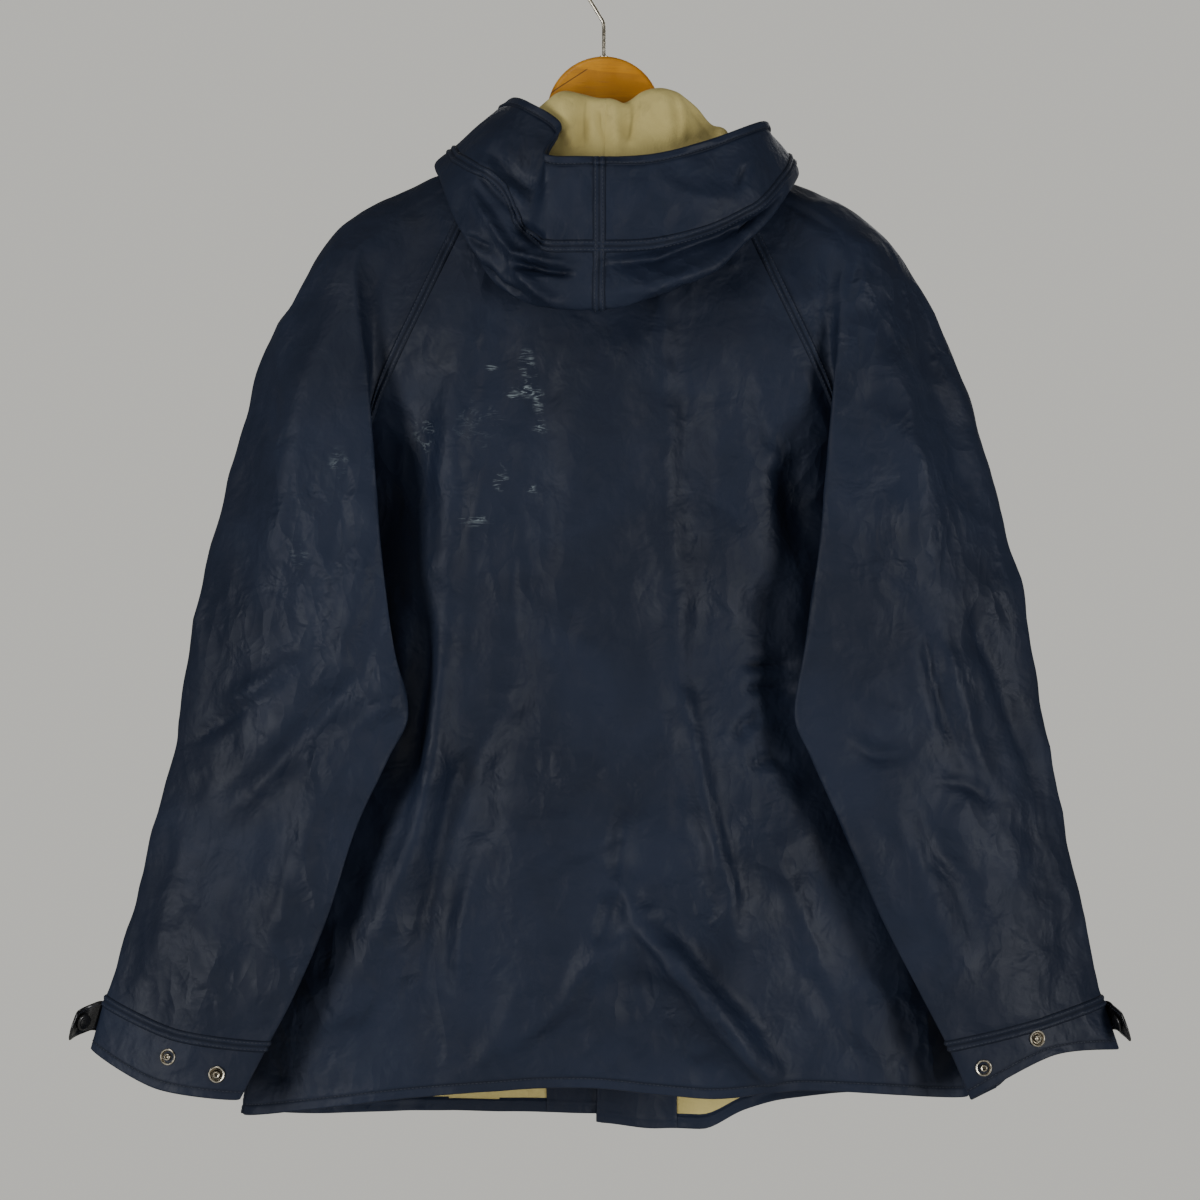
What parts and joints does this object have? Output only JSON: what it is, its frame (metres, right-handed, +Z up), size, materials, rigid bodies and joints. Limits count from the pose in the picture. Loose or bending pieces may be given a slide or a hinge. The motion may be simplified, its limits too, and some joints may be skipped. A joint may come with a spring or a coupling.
{
  "type": "hooded rain jacket on a wooden hanger",
  "caption": "Hooded rain jacket in navy coated cloth with raglan sleeves and snap cuffs, hanging with its hood down on a round-headed wooden hanger.",
  "frame": {"origin": "inner top of the hanger's hook, where a rail touches it", "axes": "+Z up, -Y out of the jacket's back, +X towards the wearer's right"},
  "size_m": [0.901, 0.1785, 1.0192],
  "materials": {
    "navy": "PVC-coated cloth, semi-matt navy outside and cream woven backing inside",
    "black": "glossy black coated strap and caps",
    "steel": "nickel-plated snaps and hook wire",
    "wood": "varnished orange-brown wood"
  },
  "bodies": {
    "root": {"back": "navy", "cuff_left": "navy", "cuff_right": "navy", "facing_left": "navy", "facing_right": "navy", "front_left": "navy", "front_right": "navy", "hood_brim_left": "navy", "hood_brim_right": "navy", "hood_crown_left": "navy", "hood_crown_right": "navy", "sleeve_left": "navy", "sleeve_right": "navy", "cuff_tab_left": "black", "cuff_tab_right": "black", "tab_cap_left": "black", "tab_cap_right": "black", "cuff_stud_left_1": "steel", "cuff_stud_left_2": "steel", "cuff_stud_right_1": "steel", "cuff_stud_right_2": "steel", "front_snap_1": "steel", "front_snap_2": "steel", "front_snap_3": "steel", "front_snap_4": "steel", "front_snap_5": "steel", "hanger_hook": "steel", "tab_socket_left": "steel", "tab_socket_right": "steel", "hanger_wood": "wood"}
  },
  "joints": []
}
